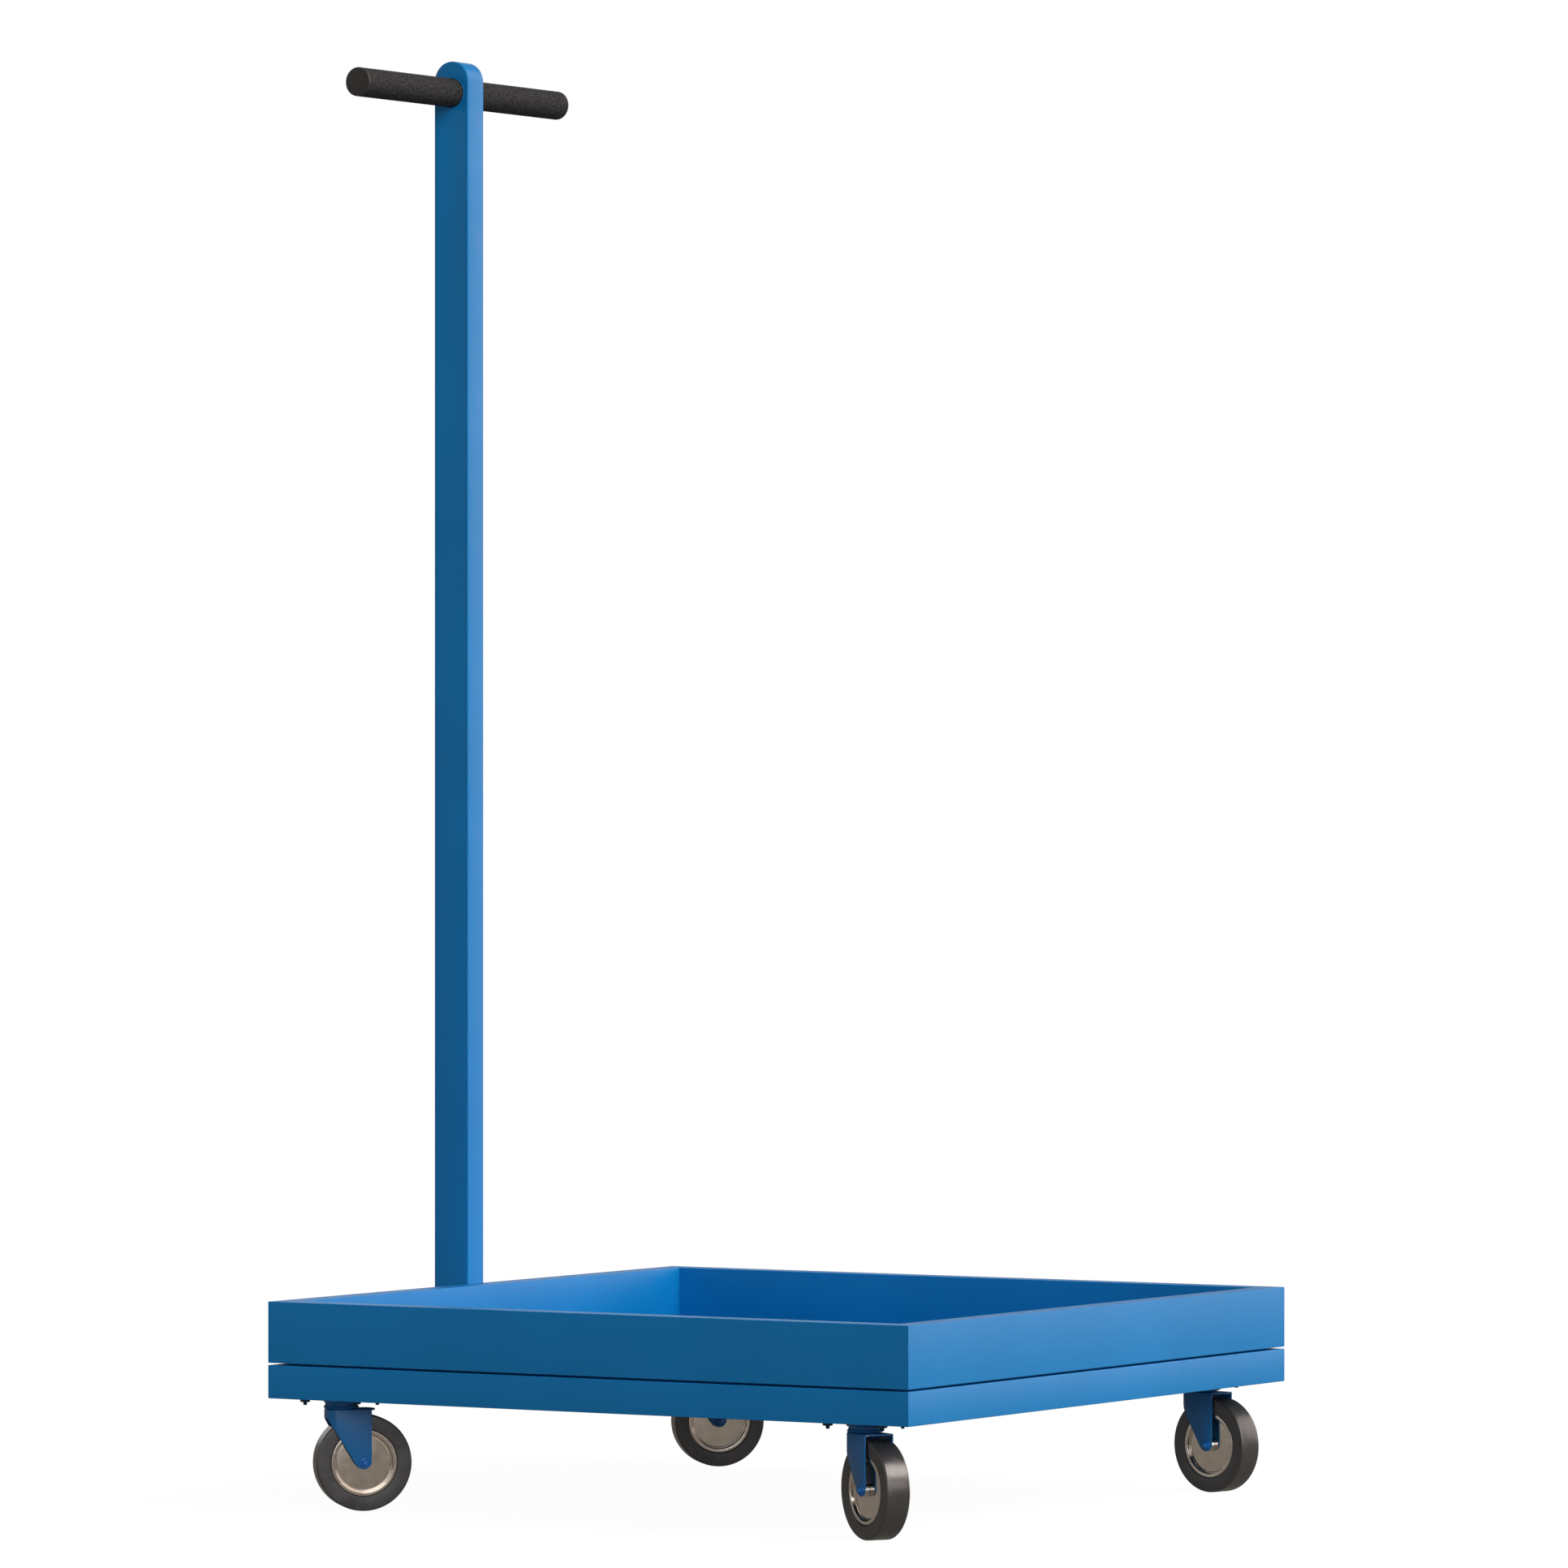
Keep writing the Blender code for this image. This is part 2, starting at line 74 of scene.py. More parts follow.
# Hexagon heads and nuts, in shares of their own sizes: the chamfer's tilt, its depth and its flat
# face, and the washer's radius and rounded rim
HEX_TILT = math.radians(30)
HEX_CHAMFER = 1.4
HEX_FACE = 0.96
WASHER_WIDTH = 0.62
WASHER_RIM = 0.35

# Post and its bolts
POST_EDGE = 0.9 * MM
BOLT_HEX = 10 * MM
BOLT_WASHER = 0.8 * MM
BOLT_RADIUS = 3 * MM
BOLT_TIP = 0.6 * MM
BOLT_END_GAP = 8 * MM

# Handle: the grip's hole in the post, the collars round it, the sleeve and its end caps
GRIP_HOLE = 12.3 * MM
COLLAR_EDGE = 0.42 * MM
COLLAR_GAP = 0.35 * MM
SLEEVE_BORE = 9.7 * MM
SLEEVE_EDGE = 0.3 * MM
SLEEVE_ROWS = 60
CAP_EDGE = 0.8 * MM
CAP_SPIGOT = 2.4 * MM
CAP_SPIGOT_EDGE = 0.5 * MM
CAP_DEPTH = 6 * MM
CAP_GAP = 0.05 * MM

# Casters, each in a frame of its own: X is the way its wheel trails, Z is up
FORK_TOP = 82.3 * MM
FORK_HALF = 12.6 * MM
FORK_SHEET = 1.1 * MM
FORK_BEND = 0.9 * MM
FORK_NOSE = 13.1 * MM
FORK_EDGE = 0.22 * MM
END_STEPS = 12
SIDE_STEPS = 6
BEND_STEPS = 6
BOW_STEPS = 12
NOSE_CORNER = 8.2 * MM
LEG_BACK = 22.85 * MM
CROWN_BULGE = 4.5 * MM
LEG_END = 6.7 * MM
LEG_END_HEIGHT = 40.6 * MM
LEG_TAPER = math.radians(31.7)
DISC_FACE = 7.0 * MM
DISC_RADIUS = 26.7 * MM
TYRE_HALF = 10.3 * MM
TYRE_EDGE = 0.9 * MM
TYRE_GAP = 0.05 * MM
TYRE_CREASE = 0.05 * MM
TYRE_SHOULDER = 1.3 * MM
BEAD_HEIGHT = 0.9 * MM
BEAD_INSET = 0.7 * MM
BEAD_EDGE = 0.5 * MM
AXLE_GAP = 0.03 * MM
AXLE_RADIUS = 2.5 * MM
AXLE_TAIL = 4.8 * MM
AXLE_TIP = 0.5 * MM
AXLE_ROOT = 0.1 * MM
AXLE_NUT_HEX = 8 * MM
AXLE_NUT_HEIGHT = 4.0 * MM
SPACER_BORE = 2.6 * MM
SPACER_WAIST = 4.3 * MM
SPACER_RADIUS = 5.0 * MM
SPACER_GAP = 0.1 * MM
SPACER_ROUND = 0.42
NOTCH_FOOT = 0.04 * MM
NOTCH_TOP = 0.05 * MM
PLATE_CORNER = 6 * MM
PLATE_EDGE = 0.25 * MM
PLATE_GAP = 0.05 * MM
GUSSET_CORNER = 1.5 * MM
NUT_HEX = 7.0 * MM
NUT_HEIGHT = 3.2 * MM
NUT_WASHER = 0.5 * MM
STUD_SPAN = (49.4 * MM, 30.7 * MM)
STUD_RADIUS = 1.7 * MM
STUD_TIP = 0.4 * MM
STUD_CHAMFER = 0.5 * MM
STUD_IN_NUT = 0.1 * MM
THREAD_DEPTH = 0.35 * MM
THREAD_PITCH = 0.7 * MM

# In millimetres: the kingpin's bore, and turned profiles as rows of radius, height and edge radius
PIN_BORE = 4.15
AXLE_HEAD = ((0, 0, 0), (4.3, 0, 0), (4.3, 0.7, 0.35), (3.5, 1.0, 0.2), (3.1, 0.5, 0.15),
             (2.5, 0.5, 0.15), (2.4, 2.5, 0.5), (1.6, 3.1, 0.4), (0, 3.2, 0))
RACE = ((PIN_BORE, 0.02, 0), (11.2, 0.02, 0), (11.4, 0.6, 0.3), (14.2, 0.7, 0.3),
        (14.2, 1.5, 0.3), (PIN_BORE, 1.5, 0))
CUP_TOP = ((PIN_BORE, 0, 0), (14.9, 0, 0), (14.4, -0.9, 0.5), (14.3, -2.6, 0.5), (13.1, -3.6, 0.6))
CUP_FOOT = ((13.1, 1.2, 0.4), (14.0, 0.6, 0.2), (13.9, 0, 0.2), (PIN_BORE, 0, 0))
DISC_SIDE = ((2.6, 7.0, 0), (22.0, 7.0, 0.6), (22.6, 6.3, 0.3), (23.2, 6.3, 0.3), (23.9, 9.7, 0.5),
             (26.7, 9.7, 0.35))

# Studio: what the floor bounces and shows, and what the room gives, mirrors and shows
FLOOR_SIZE = 120
FLOOR_BOUNCE = (0.32, 0.285, 0.245, 1)
FLOOR_SHADE = (0.07, 0.07, 0.07, 1)
FLOOR_GLOW = 0.965
AMBIENT = (0.075, 0.062, 0.050, 1)
REFLECTED = (0.25, 0.227, 0.205, 1)
BACKDROP = (1, 1, 1, 1)
WARM = (1.12, 1.0, 0.955)
COOL = (0.97, 0.97, 1.03)
# Each light: its bearing from +X, its rise and its width in degrees, what it gives face on, and its tint
LIGHTS = {
    "key": (5, 42, 28, 0.49, WARM),
    "right_side": (-15, 16, 30, 0.19, WARM),
    "right_front": (-45, 27, 34, 0.235, COOL),
    "low_front": (-50, 10, 30, 0.125, COOL),
    "left_front": (-150, 12, 32, 0.06, COOL),
    "right_back": (58, 17, 45, 0.355, WARM),
    "far_back": (140, 30, 50, 0.14, COOL),
}

# Camera: level, at the photo's angle
CAMERA_AT = (3.7494, -6.0556, 0.5852)
CAMERA_TURN = math.radians(31.638)
LENS = 200
SENSOR = 36
FARTHEST = 200


# ---------------------------------------------------------------- meshes

def arc(centre, radius, start, end, steps):
    """Points on an arc, both ends included; the angles are in radians."""
    turns = [start + (end - start) * k / steps for k in range(steps + 1)]
    return [(centre[0] + radius * math.cos(t), centre[1] + radius * math.sin(t)) for t in turns]


def eased(corners, steps=4):
    """The closed outline through (x, y, radius) corners, each rounded with an arc of that radius."""
    made = []
    count = len(corners)
    for k, (x, y, radius) in enumerate(corners):
        at = Vector((x, y))
        if radius == 0:
            made.append((x, y))
            continue
        to_last = (Vector(corners[k - 1][:2]) - at).normalized()
        to_next = (Vector(corners[(k + 1) % count][:2]) - at).normalized()
        half = to_last.angle(to_next) / 2
        reach = radius / math.tan(half)
        middle = at + (to_last + to_next).normalized() * radius / math.sin(half)
        first = at + to_last * reach - middle
        last = at + to_next * reach - middle
        turn = first.angle_signed(last)
        for s in range(steps + 1):
            a = -turn * s / steps
            spun = Vector((first.x * math.cos(a) - first.y * math.sin(a),
                           first.x * math.sin(a) + first.y * math.cos(a)))
            made.append(tuple(middle + spun))
    return made


def rectangle(low_x, low_y, high_x, high_y, radius, steps):
    """A rectangle's outline with rounded corners."""
    corners = ((low_x, low_y), (high_x, low_y), (high_x, high_y), (low_x, high_y))
    return eased([(x, y, radius) for x, y in corners], steps)


def in_metres(rows, level=0.0):
    """A turned profile's rows in metres, with its heights taken up from level."""
    return [(radius * MM, level + height * MM, edge * MM) for radius, height, edge in rows]


def mirrored(half, skip=0):
    """The rows of half, then the same rows on the far side, without the last skip of them."""
    kept = half[:len(half) - skip]
    return half + [(radius, -height, edge) for radius, height, edge in reversed(kept)]


def bridge(bm, first, second):
    """A band of faces between two loops; where points are shared the face has fewer corners."""
    count = len(first)
    for k in range(count):
        n = (k + 1) % count
        corners = list(dict.fromkeys((first[k], first[n], second[n], second[k])))
        if len(corners) > 2:
            bm.faces.new(corners)


def finish_mesh(name, bm, place, look, sharp=35):
    """An object from the bmesh, at place, shaded smooth between its sharp edges."""
    bmesh.ops.remove_doubles(bm, verts=bm.verts, dist=MERGE)
    bmesh.ops.recalc_face_normals(bm, faces=bm.faces)
    mesh = bpy.data.meshes.new(name)
    bm.to_mesh(mesh)
    bm.free()
    mesh.shade_smooth()
    mesh.set_sharp_from_angle(angle=math.radians(sharp))
    made = bpy.data.objects.new(name, mesh)
    bpy.context.scene.collection.objects.link(made)
    made.matrix_world = place
    mesh.materials.append(look)
    return made


def settle(obj, sharp=35):
    """Applies the object's modifiers and shades the result smooth between its sharp edges."""
    graph = bpy.context.evaluated_depsgraph_get()
    mesh = bpy.data.meshes.new_from_object(obj.evaluated_get(graph))
    old = obj.data
    obj.modifiers.clear()
    obj.data = mesh
    mesh.name = old.name
    mesh.shade_smooth()
    mesh.set_sharp_from_angle(angle=math.radians(sharp))
    return obj


def add_turned(bm, profile, steps, place=UPRIGHT):
    """A closed (radius, height) profile turned about Z."""
    rings = []
    for radius, height in profile:
        if radius == 0:
            rings.append([bm.verts.new(place @ Vector((0, 0, height)))] * steps)
            continue
        ring = []
        for k in range(steps):
            turn = 2 * math.pi * k / steps
            point = Vector((radius * math.cos(turn), radius * math.sin(turn), height))
            ring.append(bm.verts.new(place @ point))
        rings.append(ring)
    for k, ring in enumerate(rings):
        bridge(bm, ring, rings[(k + 1) % len(rings)])


def turned(name, profile, steps, place, look, sharp=35):
    """An object of its own from a turned profile."""
    bm = bmesh.new()
    add_turned(bm, profile, steps)
    return finish_mesh(name, bm, place, look, sharp)


def prism(name, outline, low, high, look):
    """A straight block on the outline, from low to high."""
    bm = bmesh.new()
    rings = [[bm.verts.new((x, y, level)) for x, y in outline] for level in (low, high)]
    bridge(bm, rings[0], rings[1])
    bm.faces.new(rings[0])
    bm.faces.new(rings[1])
    return finish_mesh(name, bm, UPRIGHT, look)


def bevelled(obj, width):
    """Rounds the object's sharp edges."""
    change = obj.modifiers.new("edges", "BEVEL")
    change.width = width
    change.segments = 2
    change.limit_method = "ANGLE"
    change.angle_limit = BEVEL_ANGLE
    return settle(obj)


# ---------------------------------------------------------------- materials

def node(tree, kind, **values):
    """A new node with these properties set."""
    made = tree.nodes.new(kind)
    for key, value in values.items():
        setattr(made, key, value)
    return made


def noise(tree, scale, detail=3.0):
    """A noise value in the object's own coordinates; scale is in ripples a metre."""
    where = node(tree, "ShaderNodeTexCoord")
    made = node(tree, "ShaderNodeTexNoise")
    made.inputs["Scale"].default_value = scale
    made.inputs["Detail"].default_value = detail
    tree.links.new(where.outputs["Object"], made.inputs["Vector"])
    return made.outputs["Fac"]


def spread(tree, value, low, high, start=0.3, end=0.7):
    """The value, from start to end, carried over to low to high."""
    made = node(tree, "ShaderNodeMapRange")
    for name, number in (("From Min", start), ("From Max", end), ("To Min", low), ("To Max", high)):
        made.inputs[name].default_value = number
    tree.links.new(value, made.inputs["Value"])
    return made.outputs["Result"]


def shade(colour, share):
    """The colour made darker or lighter."""
    return tuple(c * share for c in colour)


def between(tree, value, first, second):
    """A colour from first to second, as the value goes from 0 to 1."""
    made = node(tree, "ShaderNodeMix", data_type="RGBA")
    made.inputs["A"].default_value = (*first, 1)
    made.inputs["B"].default_value = (*second, 1)
    tree.links.new(value, made.inputs["Factor"])
    return made.outputs["Result"]


def bump(tree, value, strength, depth, under=None):
    """A bumped normal, on top of the bumps under it."""
    made = node(tree, "ShaderNodeBump")
    made.inputs["Strength"].default_value = strength
    made.inputs["Distance"].default_value = depth
    tree.links.new(value, made.inputs["Height"])
    if under:
        tree.links.new(under, made.inputs["Normal"])
    return made.outputs["Normal"]


def new_material(name, colour, metallic=0.0, specular=0.5):
    """The material, its node tree and its shader, with the plain values set."""
    made = bpy.data.materials.new(name)
    made.use_nodes = True
    made.diffuse_color = (*colour, 1)
    shader = made.node_tree.nodes["Principled BSDF"]
    shader.inputs["Base Color"].default_value = (*colour, 1)
    shader.inputs["Metallic"].default_value = metallic
    shader.inputs["Specular IOR Level"].default_value = specular
    return made, made.node_tree, shader


def paint(name, colour, rough, specular):
    """Stove-baked powder coat: a slight orange peel and a faint cloudiness."""
    made, tree, shader = new_material(name, colour, specular=specular)
    cloud = noise(tree, scale=7.0, detail=2.0)
    tint = between(tree, spread(tree, cloud, 0, 1), shade(colour, 0.95), shade(colour, 1.05))
    tree.links.new(tint, shader.inputs["Base Color"])
    patch = spread(tree, noise(tree, scale=45.0), rough - 0.03, rough + 0.04)
    tree.links.new(patch, shader.inputs["Roughness"])
    peel = bump(tree, noise(tree, scale=650.0, detail=1.0), strength=0.10, depth=0.12 * MM)
    tree.links.new(peel, shader.inputs["Normal"])
    return made


def rubber(name, colour, rough, smudge, specular):
    """Moulded rubber with a faint bloom that changes its colour and its shine from place to place."""
    made, tree, shader = new_material(name, colour, specular=specular)
    bloom = noise(tree, scale=60.0, detail=5.0)
    tint = between(tree, spread(tree, bloom, 0, 1), shade(colour, 0.9), shade(colour, 1.12))
    tree.links.new(tint, shader.inputs["Base Color"])
    patch = spread(tree, bloom, rough - smudge, rough + smudge)
    tree.links.new(patch, shader.inputs["Roughness"])
    grain = bump(tree, noise(tree, scale=2200.0, detail=2.0), strength=0.15, depth=0.1 * MM)
    tree.links.new(grain, shader.inputs["Normal"])
    return made


def metal(name, colour, rough, rings=0.0):
    """Bright metal; rings is how deep the lathe's turning marks round Z are."""
    made, tree, shader = new_material(name, colour, metallic=1.0)
    film = noise(tree, scale=120.0)
    tint = between(tree, spread(tree, film, 0, 1), shade(colour, 0.93), shade(colour, 1.04))
    tree.links.new(tint, shader.inputs["Base Color"])
    patch = spread(tree, film, rough * 0.85, rough * 1.2)
    tree.links.new(patch, shader.inputs["Roughness"])
    if rings:
        marks = bump(tree, ring_noise(tree, scale=3500.0), strength=rings, depth=0.03 * MM)
        tree.links.new(marks, shader.inputs["Normal"])
    return made


def ring_noise(tree, scale):
    """A noise value that changes only with the distance from the object's Z axis."""
    where = node(tree, "ShaderNodeTexCoord")
    flat = node(tree, "ShaderNodeVectorMath", operation="MULTIPLY")
    flat.inputs[1].default_value = (1, 1, 0)
    far = node(tree, "ShaderNodeVectorMath", operation="LENGTH")
    tree.links.new(where.outputs["Object"], flat.inputs[0])
    tree.links.new(flat.outputs["Vector"], far.inputs[0])
    made = node(tree, "ShaderNodeTexNoise", noise_dimensions="1D")
    made.inputs["Scale"].default_value = scale
    tree.links.new(far.outputs["Value"], made.inputs["W"])
    return made.outputs["Fac"]


def foam_rubber(name, colour, charcoal, grey, specular):
    """The grip's skin: coarse matt rubber foam, mottled from charcoal to grey."""
    made, tree, shader = new_material(name, colour, specular=specular)
    coarse = noise(tree, scale=620.0, detail=4.0)
    fine = noise(tree, scale=2000.0, detail=3.0)
    tint = between(tree, spread(tree, coarse, 0, 1, start=0.35, end=0.68), charcoal, grey)
    tree.links.new(tint, shader.inputs["Base Color"])
    tree.links.new(spread(tree, fine, 0.62, 0.9), shader.inputs["Roughness"])
    pores = bump(tree, fine, strength=0.5, depth=0.3 * MM)
    lumps = bump(tree, coarse, strength=0.6, depth=0.6 * MM, under=pores)
    tree.links.new(lumps, shader.inputs["Normal"])
    return made


LOOKS = {
    "blue_paint": paint("blue_powder_coat", (0.0005, 0.200, 0.520), rough=0.42, specular=0.3),
    "caster_blue": paint("caster_powder_coat", (0.005, 0.155, 0.430), rough=0.38, specular=0.45),
    # painted shade: the nuts and stud ends under the base get a darker blue that stands in for the shade beneath
    # the tray
    "nut_blue": paint("shade_darkened_nut_paint", (0.006, 0.050, 0.125), rough=0.45, specular=0.3),
    "axle_blue": paint("axle_head_enamel", (0.008, 0.165, 0.520), rough=0.26, specular=0.5),
    "zinc": metal("bright_zinc", (0.72, 0.71, 0.70), rough=0.13),
    "wheel_disc": metal("polished_wheel_disc", (0.72, 0.66, 0.585), rough=0.13, rings=0.03),
    "tyre": rubber("tyre_rubber", (0.041, 0.041, 0.0395), rough=0.28, smudge=0.08, specular=0.75),
    "grip": foam_rubber("grip_foam_rubber", (0.034, 0.035, 0.035), charcoal=(0.0135, 0.0142, 0.0145),
                        grey=(0.056, 0.0585, 0.059), specular=0.08),
    "plastic": rubber("end_cap_plastic", (0.028, 0.027, 0.026), rough=0.50, smudge=0.04, specular=0.5),
}


def stand_for(piece, body, slot, *nodes):
    """The piece rides the body and stands for these CAD nodes; slot is not used."""
    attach(piece, body)
    if nodes:
        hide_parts(*nodes)
    return piece


# ---------------------------------------------------------------- tray and base

def mitred_rail(name, outline, corner, end):
    """A rail from corner to end, cut at 45 degrees; the outline is an (inward distance, height) loop."""
    start = Vector((*corner, 0))
    along = Vector((*end, 0)) - start
    length = along.length
    along.normalize()
    inward = Vector((-along.y, along.x, 0))
    bm = bmesh.new()
    near, far = [], []
    for inset, height in outline:
        base = start + inward * inset + Vector((0, 0, height))
        near.append(bm.verts.new(base + along * (inset + MITRE_GAP)))
        far.append(bm.verts.new(base + along * (length - inset - MITRE_GAP)))
    bridge(bm, near, far)
    bm.faces.new(near)
    bm.faces.new(far)
    return finish_mesh(name, bm, UPRIGHT, LOOKS["blue_paint"])


def rails():
    """The rim's four tubes and the base's four lipped channels, mitred at the corners."""
    low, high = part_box("rim_rail_right")[0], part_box("rim_rail_left")[1]
    corners = [(low.x, low.y), (high.x, low.y), (high.x, high.y), (low.x, high.y)]
    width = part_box("rim_rail_right")[1].y - low.y
    rim = rectangle(0, low.z, width, high.z, TUBE_EDGE, steps=5)
    foot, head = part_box("base_rail_right")[0].z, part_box("base_rail_right")[1].z
    channel = eased([
        (0, foot, TUBE_EDGE), (BASE_LIP, foot, CUT_EDGE), (BASE_LIP, foot + SHEET, CUT_EDGE),
        (SHEET, foot + SHEET, TUBE_EDGE / 2), (SHEET, head - SHEET, TUBE_EDGE / 2),
        (BASE_FLANGE, head - SHEET, CUT_EDGE), (BASE_FLANGE, head, CUT_EDGE), (0, head, TUBE_EDGE)])
    for k, side in enumerate(SIDES):
        start, end = corners[k], corners[(k + 1) % 4]
        tube = mitred_rail("rim_tube_" + side, rim, start, end)
        stand_for(tube, "platform", "blue_paint", "rim_rail_" + side)
        base = mitred_rail("base_channel_" + side, channel, start, end)
        stand_for(base, "platform", "blue_paint", "base_rail_" + side)


def floor_sheet():
    """The tray's floor sheet, with its eased corners and edges."""
    low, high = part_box("deck_sheet")
    outline = rectangle(low.x, low.y, high.x, high.y, DECK_CORNER, steps=6)
    made = prism("tray_floor", outline, low.z, high.z, LOOKS["blue_paint"])
    stand_for(bevelled(made, DECK_EDGE), "platform", "blue_paint", "deck_sheet")


# ---------------------------------------------------------------- post and handle

def curve_plate(name, outlines, depth, edge, place, look):
    """A plate with rounded edges from closed outlines, the ones after the first being holes."""
    data = bpy.data.curves.new(name, "CURVE")
    data.dimensions = "2D"
    data.fill_mode = "BOTH"
    data.extrude = depth / 2 - edge
    data.bevel_depth = edge
    data.bevel_resolution = 3
    data.offset = -edge
    for outline in outlines:
        spline = data.splines.new("POLY")
        spline.points.add(len(outline) - 1)
        for point, (x, y) in zip(spline.points, outline):
            point.co = (x, y, 0, 1)
        spline.use_cyclic_u = True
    made = bpy.data.objects.new(name, data)
    bpy.context.scene.collection.objects.link(made)
    graph = bpy.context.evaluated_depsgraph_get()
    mesh = bpy.data.meshes.new_from_object(made.evaluated_get(graph))
    bpy.data.objects.remove(made)
    bm = bmesh.new()
    bm.from_mesh(mesh)
    bpy.data.meshes.remove(mesh)
    return finish_mesh(name, bm, place, look, sharp=25)


def post():
    """The post with its round top and the grip's hole, drawn flat and stood up across Y."""
    low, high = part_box("post")
    half = (high.x - low.x) / 2
    middle = (low + high) / 2
    grip_low, grip_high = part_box("handle_grip")
    hole_height = (grip_low.z + grip_high.z) / 2
    face = Matrix(((1, 0, 0, middle.x), (0, 0, -1, middle.y), (0, 1, 0, 0), (0, 0, 0, 1)))
    outline = [(-half, low.z), (half, low.z)]
    outline += arc((0, high.z - half), half, 0, math.pi, steps=40)
    hole = arc((0, hole_height), GRIP_HOLE, 0, -2 * math.pi, STEPS["grip_hole"])[:-1]
    depth = high.y - low.y
    made = curve_plate("post_tube", [outline, hole], depth, POST_EDGE, face, LOOKS["blue_paint"])
    stand_for(made, "platform", "blue_paint", "post")


def hex_head(bm, width, height, place, washer=0.0):
    """A hexagon head on Z from 0 up, its corners turned down to a 30 degree chamfer, on a washer."""
    corner = width / math.sqrt(3)
    chamfer = (corner - width / 2) * math.tan(HEX_TILT)
    steps = STEPS["hexagon"]
    rings = []
    face = width / 2 * HEX_FACE
    for level, cap in ((washer, corner), (height - chamfer * HEX_CHAMFER, corner), (height, face)):
        ring = []
        for k in range(steps):
            turn = 2 * math.pi * k / steps
            flat = width / 2 / math.cos((turn + math.pi / 6) % (math.pi / 3) - math.pi / 6)
            radius = min(flat, cap)
            point = Vector((radius * math.cos(turn), radius * math.sin(turn), level))
            ring.append(bm.verts.new(place @ point))
        rings.append(ring)
    bridge(bm, rings[0], rings[1])
    bridge(bm, rings[1], rings[2])
    bm.faces.new(rings[0])
    bm.faces.new(rings[2])
    if washer:
        rim = washer * WASHER_RIM
        wide = width * WASHER_WIDTH
        flange = eased([(0, 0, 0), (wide, 0, rim), (wide, washer, rim), (0, washer, 0)], steps=3)
        add_turned(bm, flange, steps, place)


def post_bolts():
    """The two bolts at the post's foot, their heads on its outer face."""
    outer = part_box("post")[0].x
    for which in ("upper", "lower"):
        low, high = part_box("post_bolt_" + which)
        centre = (low + high) / 2
        seat = Matrix.Translation((outer, centre.y, centre.z))
        place = seat @ Matrix.Rotation(-math.pi / 2, 4, "Y")
        bm = bmesh.new()
        hex_head(bm, BOLT_HEX, outer - low.x, UPRIGHT, BOLT_WASHER)
        end = low.x - high.x + BOLT_END_GAP
        corners = [(0, end, 0), (BOLT_RADIUS, end, BOLT_TIP), (BOLT_RADIUS, 0, 0), (0, 0, 0)]
        shank = eased(corners, steps=3)
        add_turned(bm, shank, STEPS["bolt_shank"])
        made = finish_mesh("post_fixing_" + which, bm, place, LOOKS["zinc"], sharp=25)
        stand_for(made, "platform", "zinc", "post_bolt_" + which)


def handle():
    """The collars in the post's faces, the grip's sleeve and its flat end caps, turned about Y."""
    low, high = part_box("handle_grip")
    centre = (low + high) / 2
    radius = (high.z - low.z) / 2
    half = (high.y - low.y) / 2
    lie = Matrix.Translation(centre) @ Matrix.Rotation(-math.pi / 2, 4, "X")

    collar = arc((GRIP_HOLE + COLLAR_GAP, 0), COLLAR_EDGE, 0, 2 * math.pi, steps=12)[:-1]
    bm = bmesh.new()
    for face in (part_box("post")[0].y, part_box("post")[1].y):
        add_turned(bm, collar, STEPS["grip"], Matrix.Translation((0, 0, face - centre.y)))
    made = finish_mesh("grip_collars", bm, lie, LOOKS["blue_paint"])
    stand_for(made, "platform", "blue_paint")

    start = -half + SLEEVE_EDGE
    length = 2 * half - 2 * SLEEVE_EDGE
    sleeve = [(SLEEVE_BORE, -half), (radius - SLEEVE_EDGE, -half)]
    sleeve += [(radius, start + length * k / SLEEVE_ROWS) for k in range(SLEEVE_ROWS + 1)]
    sleeve += [(radius - SLEEVE_EDGE, half), (SLEEVE_BORE, half)]
    grip = turned("grip_sleeve", sleeve, STEPS["grip"], lie, LOOKS["grip"])
    stand_for(grip, "platform", "grip", "handle_grip")

    spigot = SLEEVE_BORE - CAP_SPIGOT
    face = half + CAP_GAP
    for side, sign in (("right", -1), ("left", 1)):
        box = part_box("handle_end_cap_" + side)
        tip = abs((box[0].y if sign < 0 else box[1].y) - centre.y)
        foot = half - CAP_DEPTH
        cap = eased([(0, foot, 0), (spigot, foot, CAP_SPIGOT_EDGE), (spigot, face, 0),
                     (radius, face, 0), (radius, tip, CAP_EDGE), (0, tip, 0)], steps=6)
        outline = [(r, sign * h) for r, h in cap]
        made = turned("grip_end_" + side, outline, STEPS["grip"], lie, LOOKS["plastic"])
        stand_for(made, "platform", "plastic", "handle_end_cap_" + side)


# ---------------------------------------------------------------- casters

def fork_outline(inset):
    """The fork in plan, from the back of its right leg round the nose to the back of its left leg."""
    half = FORK_HALF - inset
    radius = NOSE_CORNER - inset
    bend_x = NOSE_CORNER - FORK_NOSE
    end_x = LEG_BACK - LEG_END
    side = [x for x, _ in arc((end_x, 0), LEG_END, 0, math.pi / 2, END_STEPS)]
    side += [end_x + (bend_x - end_x) * k / SIDE_STEPS for k in range(1, SIDE_STEPS)]
    right = [(x, -half) for x in side]
    right += arc((bend_x, -half + radius), radius, -math.pi / 2, -math.pi, steps=10)
    return right + [(x, -y) for x, y in reversed(right)]


def leg_bottom(x):
    """The height of the fork's lower edge: the round end of the leg, then the taper up to the nose."""
    middle = LEG_BACK - LEG_END
    turn = math.pi + LEG_TAPER
    touch_x = middle + LEG_END * math.cos(turn)
    if x >= touch_x:
        return LEG_END_HEIGHT - math.sqrt(max(0.0, LEG_END ** 2 - (x - middle) ** 2))
    touch_z = LEG_END_HEIGHT + LEG_END * math.sin(turn)
    return touch_z + (touch_x - x) / math.tan(LEG_TAPER)


